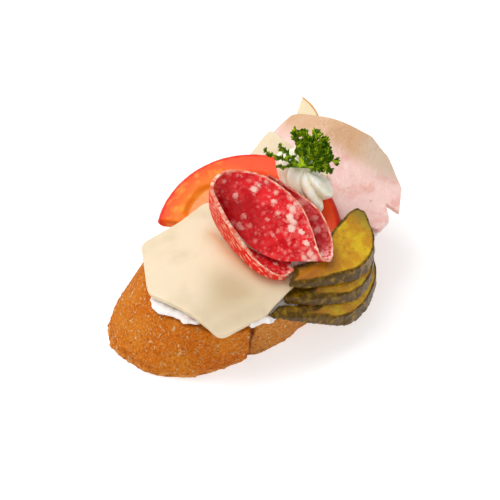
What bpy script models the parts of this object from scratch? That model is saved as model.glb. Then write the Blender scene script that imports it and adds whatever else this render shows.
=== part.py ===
"""An open sandwich: a slice of white loaf, creamy spread, and leaning slices of cheese, ham,
tomato, gherkin and salami, with a piped swirl of mayonnaise and a sprig of parsley.

Blender 4.5, metres, +Z up. The origin is the middle of the slice's flat underside, and +X runs
along the slice towards the end where the ham lies. Lengths below are in millimetres, and mm()
turns them into metres where a mesh is made.
"""

import math

import bmesh
import bpy
from mathutils import Matrix, Vector

# Driving sizes, in millimetres.
BREAD_HALF_LENGTH = 58.5
BREAD_HALF_WIDTH = 36.0
BREAD_FOOT_HALF_WIDTH = 34.2  # the underside is narrower
BREAD_FOOT_TWIST = -5  # degrees the underside is turned from the top
BREAD_THICK = 22.0
BREAD_POWER = 2.25  # 2 is an ellipse, more is squarer
BREAD_LEAN = Vector((12.5, -8.0))  # the loaf was cut on the slant, so the top sits over here
SPREAD_THICK = 3.2
CHEESE_THICK = 2.2
HAM_THICK = 1.9
TOMATO_RADIUS = 36.0
TOMATO_THICK = 5.2
SALAMI_THICK = 1.2
GAP = 0.3  # what touching pieces keep between them

GRID = 12  # faces along one side of a thin slice


def mm(point):
    return Vector(point) * 0.001


def smooth_step(low, high, value):
    share = min(1.0, max(0.0, (value - low) / (high - low)))
    return share * share * (3 - 2 * share)


def material(name, colour, roughness):
    made = bpy.data.materials.new(name)
    made.use_nodes = True
    shader = made.node_tree.nodes["Principled BSDF"]
    shader.inputs["Base Color"].default_value = (*colour, 1)
    shader.inputs["Roughness"].default_value = roughness
    shader.inputs["Metallic"].default_value = 0
    made.diffuse_color = (*colour, 1)
    return made


def finish_mesh(name, bm, finish, collection):
    """Turns the bmesh into a named, smooth-shaded object with its material."""
    bmesh.ops.recalc_face_normals(bm, faces=bm.faces)
    mesh = bpy.data.meshes.new(name)
    bm.to_mesh(mesh)
    bm.free()
    mesh.shade_smooth()
    mesh.set_sharp_from_angle(angle=math.radians(40))
    mesh.materials.append(finish)
    made = bpy.data.objects.new(name, mesh)
    collection.objects.link(made)
    return made


# Outlines. Each is a closed list of points, read by how far round it one has gone.


def rounded_outline(corners, radius, steps=5):
    """A closed outline through the corners, each rounded off over `radius` of its two sides."""
    points = []
    for i, corner in enumerate(corners):
        corner = Vector(corner)
        before = (Vector(corners[i - 1]) - corner)
        after = (Vector(corners[(i + 1) % len(corners)]) - corner)
        start = corner + before.normalized() * min(radius, before.length * 0.48)
        end = corner + after.normalized() * min(radius, after.length * 0.48)
        for k in range(steps + 1):
            t = k / steps
            points.append(start * (1 - t) ** 2 + corner * 2 * t * (1 - t) + end * t * t)
    return points


def along_outline(points):
    """A function from a share of the way round, 0 to 1, to the point there."""
    ends = points[1:] + points[:1]
    reach = [0.0]
    for start, end in zip(points, ends):
        reach.append(reach[-1] + (end - start).length)

    def at(share):
        distance = (share % 1.0) * reach[-1]
        for i, start in enumerate(points):
            if distance <= reach[i + 1]:
                part = (distance - reach[i]) / max(reach[i + 1] - reach[i], 1e-9)
                return start.lerp(ends[i], part)
        return points[0]

    return at


def turn_of(s, t):
    """How far round a square of half side max(|s|, |t|) the point (s, t) is, from 0 to 1."""
    half = max(abs(s), abs(t))
    if half < 1e-9:
        return 0.0
    s, t = s / half, t / half
    if s >= abs(t):
        return (t + 1) / 8
    if t >= abs(s):
        return (3 - s) / 8
    if -s >= abs(t):
        return (5 - t) / 8
    return (7 + s) / 8


def in_outline(points, centre):
    """A function from a square grid's (s, t) to the plane point that fills the outline."""
    at = along_outline(points)
    centre = Vector(centre)

    def place(s, t):
        return centre.lerp(at(turn_of(s, t)), max(abs(s), abs(t)))

    return place


def oval(half_length, half_width, power, count=96):
    """A closed oval round the origin, squarer than an ellipse where power is over 2."""
    points = []
    for i in range(count):
        angle = math.tau * i / count
        c, s = math.cos(angle), math.sin(angle)
        across = math.copysign(abs(s) ** (2 / power), s)
        points.append(
            Vector((half_length * math.copysign(abs(c) ** (2 / power), c), half_width * across))
        )
    return points


def slab(name, cells, top, bottom, finish, collection):
    """A closed slice between two surfaces, each a function from a grid's (s, t) to a point."""
    bm = bmesh.new()
    bmesh.ops.create_grid(bm, x_segments=cells, y_segments=cells, size=1)
    lower = bm.verts[:]
    grown = bmesh.ops.extrude_face_region(bm, geom=bm.faces[:])
    upper = [v for v in grown["geom"] if isinstance(v, bmesh.types.BMVert)]
    for group, surface in ((lower, bottom), (upper, top)):
        for v in group:
            v.co = mm(surface(v.co.x, v.co.y))
    return finish_mesh(name, bm, finish, collection)


def draped(name, outline, centre, height, thick, finish, collection, cells=GRID):
    """A thin slice that lies over what is under it: height(x, y) is its middle surface."""
    place = in_outline(outline, centre)

    def surface(side):
        def at(s, t):
            flat = place(s, t)
            step = 0.5
            slope_x = (height(flat.x + step, flat.y) - height(flat.x - step, flat.y)) / (2 * step)
            slope_y = (height(flat.x, flat.y + step) - height(flat.x, flat.y - step)) / (2 * step)
            normal = Vector((-slope_x, -slope_y, 1)).normalized()
            middle = Vector((flat.x, flat.y, height(flat.x, flat.y)))
            return middle + normal * (side * thick / 2)

        return at

    return slab(name, cells, surface(1), surface(-1), finish, collection)


# The bread.


def make_bread(finish, collection):
    """The cut slice: a slanted oval drum with crust all round, and a crack down one side."""
    outline = oval(BREAD_HALF_LENGTH, 1, BREAD_POWER, count=80)
    crack_foot, crack_top = math.radians(226.5), math.radians(211)
    crack_half_angle = math.radians(3.4)
    crack_deep = 2.0
    levels = [0, 1.8, 4.5, 11, 18, 20.8, BREAD_THICK]
    bm = bmesh.new()
    bmesh.ops.create_cone(
        bm, cap_ends=True, segments=len(outline), radius1=1, radius2=1, depth=1
    )
    posts = [e for e in bm.edges if abs(e.verts[0].co.z - e.verts[1].co.z) > 0.5]
    bmesh.ops.subdivide_edges(bm, edges=posts, cuts=len(levels) - 2)
    for v in bm.verts:
        level = levels[round((v.co.z + 0.5) * (len(levels) - 1))]
        share = level / BREAD_THICK
        half_width = BREAD_FOOT_HALF_WIDTH + (BREAD_HALF_WIDTH - BREAD_FOOT_HALF_WIDTH) * share
        angle = math.atan2(v.co.y, v.co.x) % math.tau
        ring = outline[round(angle / math.tau * len(outline)) % len(outline)].copy()
        ring.y *= half_width
        ring *= 1 - 0.035 * (1 - smooth_step(0, 0.2, share)) - 0.01 * smooth_step(0.92, 1, share)
        ring.rotate(Matrix.Rotation(math.radians(BREAD_FOOT_TWIST * (1 - share)), 2))
        angle = math.atan2(ring.y, ring.x) % math.tau
        swell = 0.5 * math.sin(3 * angle + 0.7) + 0.35 * math.sin(7 * angle + 2.1 + level * 0.08)
        crack_angle = crack_foot + (crack_top - crack_foot) * share
        away = (angle - crack_angle) / crack_half_angle
        ring = ring.normalized() * (ring.length + swell - crack_deep * math.exp(-away * away))
        ring += BREAD_LEAN * share
        v.co = mm((ring.x, ring.y, level))
    return finish_mesh("bread", bm, finish, collection)


# The slices at the far end: smoked cheese, ham, and a square of cheese.


def smoked_height(x, y):
    return 27.4 + 0.335 * max(0.0, x - 33)


def make_smoked_cheese(finish, collection):
    """What a straight cut leaves of a round slice: its long point stands past the bread's end."""
    middle = Vector((50.0, 26.2))
    radius = 26.5
    angles = [math.radians(-130 + 122 * k / 24) for k in range(25)]
    arc = [middle + Vector((math.cos(a), math.sin(a))) * radius for a in angles]
    return draped(
        "smoked_cheese", arc, (55, 9), smoked_height, CHEESE_THICK, finish, collection, cells=10
    )


def ham_height(x, y):
    """The ham rises over the smoked cheese at its +Y side and lies low at its -Y side."""
    rise = smooth_step(-45, 14, y)
    roll_down = 0.04 * max(0.0, y - 14) ** 2
    wave = 0.45 * math.sin(0.21 * y + 0.11 * x)
    return 30.4 + 0.33 * max(0.0, x - 30) * rise - roll_down + wave


def make_ham(finish, collection):
    """A big soft slice with a torn notch at its low corner."""
    corners = [
        (65, 19.5), (71, 1), (75, -13), (72, -23), (62.5, -36.5), (49.5, -43.8), (50.5, -38),
        (43, -44), (35.5, -44.5), (33, -34), (31, -22), (29, -5), (33, 16), (50, 22.5),
    ]
    return draped(
        "ham", rounded_outline(corners, 4.0), (60, -12), ham_height, HAM_THICK, finish, collection,
        cells=15,
    )


def square_height(x, y):
    lift = 2.2 * smooth_step(34, 50, x) * smooth_step(2, 19, y)
    return ham_height(x, min(y, 14)) + (HAM_THICK + CHEESE_THICK) / 2 + GAP + 0.35 + lift


def make_cheese_square(finish, collection):
    """A square of cheese on the ham, one corner standing up behind the tomato."""
    corners = [(49.5, 19.0), (46.5, -13), (31, -12), (30, 20.5)]
    return draped(
        "cheese_square", rounded_outline(corners, 2.5), (39, 3.5), square_height,
        CHEESE_THICK, finish, collection, cells=10,
    )


# The tomato, a part-round slice that leans on the cheese behind it.

TOMATO_CENTRE = Vector((2.9, -6.1, 30.6))
TOMATO_NORMAL = Vector((-0.337, -0.174, 0.925)).normalized()
TOMATO_CUT_OFF = 0.5  # how far the straight cut is from the slice's middle


def tomato_turn():
    """The slice's own axes: X away from its straight cut, Z out of its upper face."""
    along_cut = Vector((0.452, -0.892, 0))
    along_cut = (along_cut - TOMATO_NORMAL * along_cut.dot(TOMATO_NORMAL)).normalized()
    away = TOMATO_NORMAL.cross(along_cut).normalized()
    if away.x < 0:
        away = -away
    cross = TOMATO_NORMAL.cross(away)
    return Matrix((away, cross, TOMATO_NORMAL)).transposed()


def make_tomato(finish, collection):
    """A disc with a bulging skin edge, cut straight across on the side nearest the cheese."""
    turn = tomato_turn()
    bm = bmesh.new()
    bmesh.ops.create_cone(
        bm, cap_ends=True, segments=64, radius1=TOMATO_RADIUS, radius2=TOMATO_RADIUS,
        depth=TOMATO_THICK,
    )
    posts = [e for e in bm.edges if abs(e.verts[0].co.z - e.verts[1].co.z) > 0.5]
    bmesh.ops.subdivide_edges(bm, edges=posts, cuts=3)
    for v in bm.verts:
        bulge = 1 - 0.045 * (2 * v.co.z / TOMATO_THICK) ** 2
        v.co.x *= bulge
        v.co.y *= bulge
    bmesh.ops.bisect_plane(
        bm, geom=bm.verts[:] + bm.edges[:] + bm.faces[:], plane_co=(TOMATO_CUT_OFF, 0, 0),
        plane_no=(-1, 0, 0), clear_outer=True,
    )
    bmesh.ops.holes_fill(bm, edges=[e for e in bm.edges if e.is_boundary])
    for v in bm.verts:
        v.co = mm(TOMATO_CENTRE + turn @ v.co)
    return finish_mesh("tomato", bm, finish, collection)


# The gherkin, three long slices fanned over the bread's -Y edge.

GHERKIN_INNER = Vector((12, -38))  # the fan's heights are stated over this point
# name, upper and lower surface (height, rise along X, rise along Y), outline
GHERKIN_SLICES = (
    ("gherkin_low", (29.2, 0.0, 1.0), (28.3, 0.0, 1.35), (
        (31.8, -45.2), (27.4, -49.6), (20, -52.2), (11, -53.2), (3.0, -52.3), (-7.0, -47.8),
        (-17, -43.4), (-28, -37.6), (-15, -40.8), (-5, -45.5), (10, -46.0),
    )),
    ("gherkin_mid", (32.7, 0.04, 0.75), (30.6, 0.04, 1.0), (
        (31.0, -45.0), (25, -49.3), (17, -52), (9, -51.5), (1, -48.6), (-9.5, -43.6),
        (-19, -38.0), (-6, -38.2), (10, -38.2), (28, -38.6),
    )),
    ("gherkin_top", (35.4, 0.05, 0.40), (33.4, 0.05, 0.75), (
        (36.6, -33.6), (34.3, -39.5), (29.5, -46.3), (22.5, -50.3), (12, -50.2), (2, -45.8),
        (-8, -41.4), (-14.5, -36.6), (-8, -36.3), (-3, -36.9), (3, -38.8), (8, -38.4), (17, -34.4), (27, -33.4),
    )),
)


def make_gherkins(finish, collection):
    for name, upper, lower, corners in GHERKIN_SLICES:
        middle = sum((Vector(c) for c in corners), Vector((0, 0))) / len(corners)
        place = in_outline(rounded_outline(corners, 4.5, steps=3), middle)

        def surface(height, along, out, swell):
            def at(s, t):
                flat = place(s, t)
                rim = smooth_step(0.8, 1.0, max(abs(s), abs(t)))
                flat = middle + (flat - middle) * (1 + swell * rim)
                from_inner = flat - GHERKIN_INNER
                return Vector((flat.x, flat.y, height + along * from_inner.x + out * from_inner.y))

            return at

        slab(name, 10, surface(*upper, 0), surface(*lower, 0.01), finish, collection)


# The cheese slice that slopes down over the near end.


def front_cheese_height(x, y):
    slope = 29.3 + 0.232 * (x + 40 - max(0.0, x + 12) * smooth_step(-8, 6, -y))
    droop = 0.0085 * max(0.0, abs(y + 3) - 7) ** 2
    to_tip = (Vector((x, y)) - Vector((-42, -28))).length
    return slope - droop - 2.6 * math.exp(-((to_tip / 11) ** 2))


def make_front_cheese(finish, collection):
    """A soft slice with one corner hanging over the bread's end and one tucked away."""
    corners = [
        (-44.8, 3.7), (-42.3, -28.5), (-25.5, -36.6), (-8, -37.4), (-3, -28), (-1, -12),
        (1.5, 12.5), (-12, 15.6), (-26.3, 22.6),
    ]
    return draped(
        "cheese_slope", rounded_outline(corners, 4.0), (-20, -6), front_cheese_height,
        CHEESE_THICK, finish, collection, cells=14,
    )


# The spread, heaped in the middle so that it carries the leaning slices.


def underside(x, y):
    """How low the slices that lie over the spread reach at a point."""
    spot = Vector((x, y))
    over = []
    if x < 6:
        over.append(front_cheese_height(x, y) - CHEESE_THICK / 2)
    turned = tomato_turn().transposed() @ Vector((x - TOMATO_CENTRE.x, y - TOMATO_CENTRE.y, 0))
    if turned.x > TOMATO_CUT_OFF - 6 and turned.length < TOMATO_RADIUS + 3:
        slope = Vector((-TOMATO_NORMAL.x, -TOMATO_NORMAL.y)) / TOMATO_NORMAL.z
        plane = TOMATO_CENTRE.z + slope.dot(spot - TOMATO_CENTRE.xy)
        over.append(plane - TOMATO_THICK / 2 / TOMATO_NORMAL.z)
    if x > 24:
        over.append(ham_height(x, y) - HAM_THICK / 2)
    if x > 27 and y > -6:
        over.append(smoked_height(x, y) - CHEESE_THICK / 2)
    if y < -32:
        over.append(30.6 + 0.04 * (x - 12) + y + 38)
    return min(over) if over else BREAD_THICK + 20


def make_spread(finish, collection):
    """Spread over the whole top: a thin lumpy rim near the crust and a heap under the slices."""
    outline = oval(BREAD_HALF_LENGTH - 1.6, BREAD_HALF_WIDTH - 1.2, BREAD_POWER)
    for i, point in enumerate(outline):
        angle = math.tau * i / len(outline)
        point += point.normalized() * (0.7 * math.sin(5 * angle + 1) + 0.5 * math.sin(11 * angle))
    outline = [point + BREAD_LEAN for point in outline]
    place = in_outline(outline, BREAD_LEAN)
    floor = BREAD_THICK + GAP

    def top(s, t):
        flat = place(s, t)
        rim = max(abs(s), abs(t))
        lumps = 0.3 * math.sin(0.42 * flat.x + 1.0) * math.sin(0.37 * flat.y)
        thick = SPREAD_THICK * (1 - 0.5 * smooth_step(0.9, 1.0, rim)) + lumps * (rim < 0.95)
        heap = 10.5 * (1 - smooth_step(0.42, 0.96, rim))
        height = min(floor + thick + heap, underside(flat.x, flat.y) - 1.0)
        return Vector((flat.x, flat.y, max(height, floor + 1.2)))

    def bottom(s, t):
        flat = place(s, t)
        return Vector((flat.x, flat.y, floor))

    return slab("spread", 18, top, bottom, finish, collection)


# The salami, one round slice folded over itself into three standing leaves.


def through(points, share):
    """A smooth curve through the points, read from 0 at the first to 1 at the last."""
    spans = len(points) - 1
    i = min(int(share * spans), spans - 1)
    t = share * spans - i
    before = points[i - 1] if i else points[0] * 2 - points[1]
    after = points[i + 2] if i + 2 < len(points) else points[-1] * 2 - points[-2]
    a, b = points[i], points[i + 1]
    return 0.5 * (
        2 * a
        + (b - before) * t
        + (2 * before - 5 * a + 4 * b - after) * t * t
        + (3 * a - before - 3 * b + after) * t * t * t
    )


def make_salami(finish, collection):
    """The rim is one long curve round the three leaves, and every leaf narrows to the fold."""
    rim = [Vector(p) for p in (
        (-6.2, -34.4, 34.8), (-12.0, -33.4, 34.9), (-15.2, -26.8, 38.7), (-15.4, -16.1, 46.3),
        (-13.4, -5.8, 54.0), (-9.6, 1.1, 58.8), (-1.8, 1.0, 61.0), (5.3, -7.3, 60.0),
        (8.6, -15.7, 56.5), (9.7, -25.0, 51.0), (7.2, -32.6, 44.8), (3.4, -40.0, 37.8),
        (6.3, -43.1, 36.2), (12.8, -37.8, 40.5), (17.0, -28.5, 45.8), (16.8, -17.2, 49.4),
        (12.6, -8.2, 55.4),
    )]
    fold = [Vector(p) for p in (
        (-5.3, -32.6, 34.3), (-11.4, -31.8, 34.3), (-16.2, -24.4, 36.7), (-13.8, -10.2, 39.6),
        (-10.6, 0.1, 46.0), (-9.1, 2.0, 52.0), (-7.6, -0.7, 49.5), (-9.6, -9.2, 43.8),
        (-10.7, -18.4, 39.9), (-8.8, -28.5, 37.8), (-3.1, -34.9, 36.6), (2.0, -39.5, 35.9),
        (4.7, -40.3, 36.0), (4.2, -34.6, 35.9), (4.6, -28.2, 37.2), (5.2, -19.7, 40.4),
        (4.3, -12.2, 46.0),
    )]
    # The near leaf turns under the middle one: where it ends there.
    tuck = [Vector(p) for p in (
        (-2.8, -31.0, 34.7), (-6.6, -26.4, 35.8), (-9.8, -19.4, 37.4), (-10.6, -9.0, 40.6),
        (-9.4, -0.8, 46.6), (-8.6, 1.2, 50.6),
    )]
    bm = bmesh.new()
    bmesh.ops.create_grid(bm, x_segments=60, y_segments=7, size=0.5)
    for v in bm.verts:
        share, reach = v.co.x + 0.5, v.co.y + 0.5
        station = share * (len(rim) - 1)
        start, end = through(fold, share), through(rim, share)
        if station < len(tuck) - 1:
            under = through(tuck, station / (len(tuck) - 1))
            bend = 0.4  # how far up the leaf it turns
            pull = (start - under * (1 - bend) ** 2 - end * bend ** 2) / (2 * bend * (1 - bend))
            spot = under * (1 - reach) ** 2 + pull * 2 * reach * (1 - reach) + end * reach ** 2
        else:
            blend = smooth_step(len(tuck) - 1, len(tuck), station)
            start = through(tuck, 1).lerp(start, blend) if blend < 1 else start
            spot = start.lerp(end, reach)
        v.co = mm(spot)
    made = finish_mesh("salami", bm, finish, collection)
    thicken = made.modifiers.new("thickness", "SOLIDIFY")
    thicken.thickness = SALAMI_THICK * 0.001
    thicken.offset = 0
    return made


# The swirl of mayonnaise and the parsley on it.

MAYO_MIDDLE = Vector((26.3, -15.0, 49.2))
MAYO_LONG = Vector((5.0, 11.3, 5.4))  # from the middle to the far, high end
MAYO_WIDE = Vector((-5.9, 7.5, 0.0))  # from the middle to one side
MAYO_UP = Vector((-2.8, -2.2, 6.4))  # from the middle to the crest
MAYO_DOWN = 10.0
MAYO_FLUTES = 7


def mayo_floor(x, y):
    """The height of what the mayonnaise rests on: the tomato's face, or the square of cheese."""
    slope = Vector((-TOMATO_NORMAL.x, -TOMATO_NORMAL.y)) / TOMATO_NORMAL.z
    face = TOMATO_CENTRE.z + TOMATO_THICK / 2 / TOMATO_NORMAL.z
    face += slope.dot(Vector((x, y)) - TOMATO_CENTRE.xy)
    return max(face, square_height(x, y) + CHEESE_THICK / 2) + GAP + 0.1


def make_mayonnaise(finish, collection):
    """A piped swirl: a leaning shell whose side runs in folds and whose near end is a small tail."""
    bm = bmesh.new()
    bmesh.ops.create_uvsphere(bm, u_segments=42, v_segments=16, radius=1)
    for v in bm.verts:
        angle = math.atan2(v.co.y, v.co.x)
        wide = math.sqrt(max(0.0, 1 - v.co.z * v.co.z))
        fold = abs(math.cos(MAYO_FLUTES * angle / 2 + 0.9 * v.co.z))
        flute = 1 - 0.15 * wide * (1 - fold)
        rise = MAYO_UP * v.co.z if v.co.z > 0 else Vector((0, 0, MAYO_DOWN * v.co.z))
        spot = MAYO_MIDDLE + (MAYO_LONG * v.co.x + MAYO_WIDE * v.co.y) * flute + rise
        spot.z = max(spot.z, mayo_floor(spot.x, spot.y))
        v.co = mm(spot)
    return finish_mesh("mayonnaise", bm, finish, collection)


def make_parsley(finish, collection, cutters):
    """Fronds that fan out from one stalk, each a stem with a ruffled head."""
    root = Vector((21.8, -17.0, 57.6))
    heads = (
        (Vector((28.5, -9.5, 64.6)), 3.4), (Vector((30.5, -14.8, 64.2)), 4.0),
        (Vector((31.0, -21.0, 61.6)), 4.0), (Vector((29.2, -25.0, 58.4)), 3.0),
        (Vector((22.6, -6.6, 61.8)), 2.4), (Vector((17.6, -3.4, 60.4)), 2.4),
    )
    bm = bmesh.new()
    bmesh.ops.create_icosphere(bm, subdivisions=2, radius=0.0020, matrix=Matrix.Translation(mm(root)))
    made = finish_mesh("parsley", bm, finish, collection)
    for i, (head, size) in enumerate(heads):
        bm = bmesh.new()
        bmesh.ops.create_icosphere(bm, subdivisions=2, radius=1)
        reach = head - root
        turn = reach.to_track_quat("Z", "Y").to_matrix()
        for v in bm.verts:
            share = 0.5 + 0.5 * v.co.z
            ruffle = 1 + 0.10 * math.sin(9 * math.atan2(v.co.y, v.co.x))
            wide = size * (0.30 + 0.8 * share) * ruffle
            spot = Vector((v.co.x * wide, v.co.y * wide * 0.75, share * (reach.length + size * 0.5)))
            v.co = mm(root + turn @ spot)
        frond = finish_mesh(f"parsley_frond_{i}", bm, finish, cutters)
        frond.hide_render = True
        frond.display_type = "WIRE"
        union = made.modifiers.new(frond.name, "BOOLEAN")
        union.operation = "UNION"
        union.solver = "EXACT"
        union.object = frond
    return made


def main():
    for old in list(bpy.data.objects):
        bpy.data.objects.remove(old)
    collection = bpy.data.collections.new("open_sandwich")
    bpy.context.scene.collection.children.link(collection)
    cutters = bpy.data.collections.new("construction")
    cutters.hide_render = True
    bpy.context.scene.collection.children.link(cutters)
    crust = material("crust", (0.62, 0.33, 0.12), 0.75)
    cream = material("spread", (0.93, 0.89, 0.85), 0.55)
    cheese = material("cheese", (0.90, 0.80, 0.60), 0.45)
    smoked = material("smoked_cheese", (0.91, 0.80, 0.55), 0.45)
    ham = material("ham", (0.90, 0.66, 0.60), 0.40)
    tomato = material("tomato", (0.86, 0.22, 0.08), 0.30)
    gherkin = material("gherkin", (0.45, 0.42, 0.06), 0.35)
    salami = material("salami", (0.72, 0.08, 0.10), 0.45)
    mayonnaise = material("mayonnaise", (0.94, 0.91, 0.80), 0.35)
    parsley = material("parsley", (0.10, 0.28, 0.03), 0.55)
    make_bread(crust, collection)
    make_smoked_cheese(smoked, collection)
    make_ham(ham, collection)
    make_cheese_square(cheese, collection)
    make_tomato(tomato, collection)
    make_gherkins(gherkin, collection)
    make_front_cheese(cheese, collection)
    make_spread(cream, collection)
    make_salami(salami, collection)
    make_mayonnaise(mayonnaise, collection)
    make_parsley(parsley, collection, cutters)


main()
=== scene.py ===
# %% [markdown]
# # An open sandwich
#
# A thick slice of white loaf, cut on the slant, is spread with a creamy cheese spread. Slices of
# cheese, tomato, gherkin, ham and salami lean on each other over it, and a piped swirl of
# mayonnaise carries a sprig of curly parsley.
#
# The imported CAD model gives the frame: where every piece is and how big it is. Here each piece
# is made again in more detail, in the same place. Lengths are written in millimetres, because a
# cook's slice is thought of in millimetres, and `mm` turns them into metres.

import math
import random

import bpy
from mathutils import Matrix, Vector, noise
from mathutils.kdtree import KDTree


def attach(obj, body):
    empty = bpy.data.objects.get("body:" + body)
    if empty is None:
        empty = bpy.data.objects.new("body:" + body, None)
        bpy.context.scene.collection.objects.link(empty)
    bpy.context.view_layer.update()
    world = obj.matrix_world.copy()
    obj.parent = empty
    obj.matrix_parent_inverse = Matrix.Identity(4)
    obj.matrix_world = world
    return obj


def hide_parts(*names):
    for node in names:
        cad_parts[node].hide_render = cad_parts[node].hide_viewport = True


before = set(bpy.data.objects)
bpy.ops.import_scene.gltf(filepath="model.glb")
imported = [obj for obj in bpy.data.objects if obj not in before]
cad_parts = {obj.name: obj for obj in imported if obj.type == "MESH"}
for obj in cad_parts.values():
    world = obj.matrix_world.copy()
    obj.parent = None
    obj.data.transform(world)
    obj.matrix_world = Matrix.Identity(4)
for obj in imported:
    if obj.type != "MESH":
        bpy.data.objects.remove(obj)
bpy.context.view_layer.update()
print("The frame has", len(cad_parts), "nodes")


# %% [markdown]
# ## Small tools
#
# A primitive comes from an operator, modifiers are applied by an operator, and in between the
# vertices are moved in code, as a hand would push dough about.


# %% Lengths and steps
MM = 0.001


def mm(x, y, z):
    return Vector((x, y, z)) * MM


def smooth_step(low, high, value):
    share = min(1.0, max(0.0, (value - low) / (high - low)))
    return share * share * (3 - 2 * share)


def lumps(spot, size, seed=0.0):
    """Smooth noise from -1 to 1 whose lumps are about `size` millimetres; spot is in millimetres."""
    return noise.noise(spot / size + Vector((seed, seed * 1.7, seed * 0.3)))


# %% Making and shaping a piece
def nothing_selected():
    bpy.ops.object.select_all(action="DESELECT")


def only(piece):
    nothing_selected()
    piece.select_set(True)
    bpy.context.view_layer.objects.active = piece


def named(name):
    """The primitive that was just added, with its own name."""
    piece = bpy.context.active_object
    piece.name = name
    piece.data.name = name
    return piece


def apply_modifier(piece, kind, **settings):
    only(piece)
    modifier = piece.modifiers.new(kind.lower(), kind)
    for setting, value in settings.items():
        setattr(modifier, setting, value)
    bpy.ops.object.modifier_apply(modifier=modifier.name)


def shape(piece, move):
    """Moves every vertex to move(place, normal), all in millimetres."""
    places = [(v.co / MM, v.normal.copy()) for v in piece.data.vertices]
    for v, (place, normal) in zip(piece.data.vertices, places):
        v.co = move(place, normal) * MM
    piece.data.update()


def paint(piece, name, rule):
    """Keeps rule(place, normal) at every vertex as a number that a finish can read."""
    layer = piece.data.attributes.new(name, "FLOAT", "POINT")
    for v in piece.data.vertices:
        layer.data[v.index].value = rule(v.co / MM, v.normal)


def cast_of(node, name, voxel, smoothing):
    """A fine, even mesh in the form of a CAD node, as if cast in its mould."""
    nothing_selected()
    piece = bpy.data.objects.new(name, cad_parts[node].data.copy())
    bpy.context.scene.collection.objects.link(piece)
    piece.data.materials.clear()
    only(piece)
    bpy.ops.object.mode_set(mode="EDIT")
    bpy.ops.mesh.select_all(action="SELECT")
    bpy.ops.mesh.remove_doubles(threshold=0.00001)
    bpy.ops.object.mode_set(mode="OBJECT")
    apply_modifier(piece, "REMESH", mode="VOXEL", voxel_size=voxel * MM)
    if smoothing:
        apply_modifier(piece, "SMOOTH", factor=0.5, iterations=smoothing)
    return piece


def complete(piece, finishes, slot, *nodes, angle=40):
    """Gives a piece its finishes, hangs it on the root and hides the CAD nodes it stands in for."""
    for finish in finishes:
        piece.data.materials.append(finish.material)
    only(piece)
    bpy.ops.object.shade_smooth_by_angle(angle=math.radians(angle))
    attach(piece, "root")
    if nodes:
        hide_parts(*nodes)
    triangles = sum(len(p.vertices) - 2 for p in piece.data.polygons)
    print(piece.name, "has", triangles, "triangles")


# %% [markdown]
# ## Shader sums as Python
#
# A finish is a tree of small nodes. Written out node by node it is hard to read, so a `Wire`
# stands for one value in the tree, and adding or multiplying wires adds the Math nodes.


# %% Wires and finishes
def colour(red, green, blue):
    """A colour in the usual 0 to 255 numbers, as the light it stands for."""

    def light(part):
        part /= 255
        return part / 12.92 if part <= 0.04045 else ((part + 0.055) / 1.055) ** 2.4

    return (light(red), light(green), light(blue), 1)


class Wire:
    """One value that runs between the nodes of a finish."""

    def __init__(self, finish, socket):
        self.finish = finish
        self.socket = socket

    def math(self, operation, *values, clamp=False):
        settings = {"operation": operation, "use_clamp": clamp}
        return self.finish.add("ShaderNodeMath", settings, dict(enumerate(values)))

    def __add__(self, other):
        return self.math("ADD", self, other)

    def __sub__(self, other):
        return self.math("SUBTRACT", self, other)

    def __rsub__(self, other):
        return self.math("SUBTRACT", other, self)

    def __mul__(self, other):
        return self.math("MULTIPLY", self, other)

    __radd__ = __add__
    __rmul__ = __mul__

    def clamp(self):
        return self.math("ADD", self, 0.0, clamp=True)

    def step(self, low, high):
        """0 below `low`, 1 above `high`, and smooth between; low may be the larger one."""
        settings = {"interpolation_type": "SMOOTHSTEP"}
        return self.finish.add(
            "ShaderNodeMapRange", settings, {0: self, 1: low, 2: high, 3: 0.0, 4: 1.0}
        )


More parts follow.
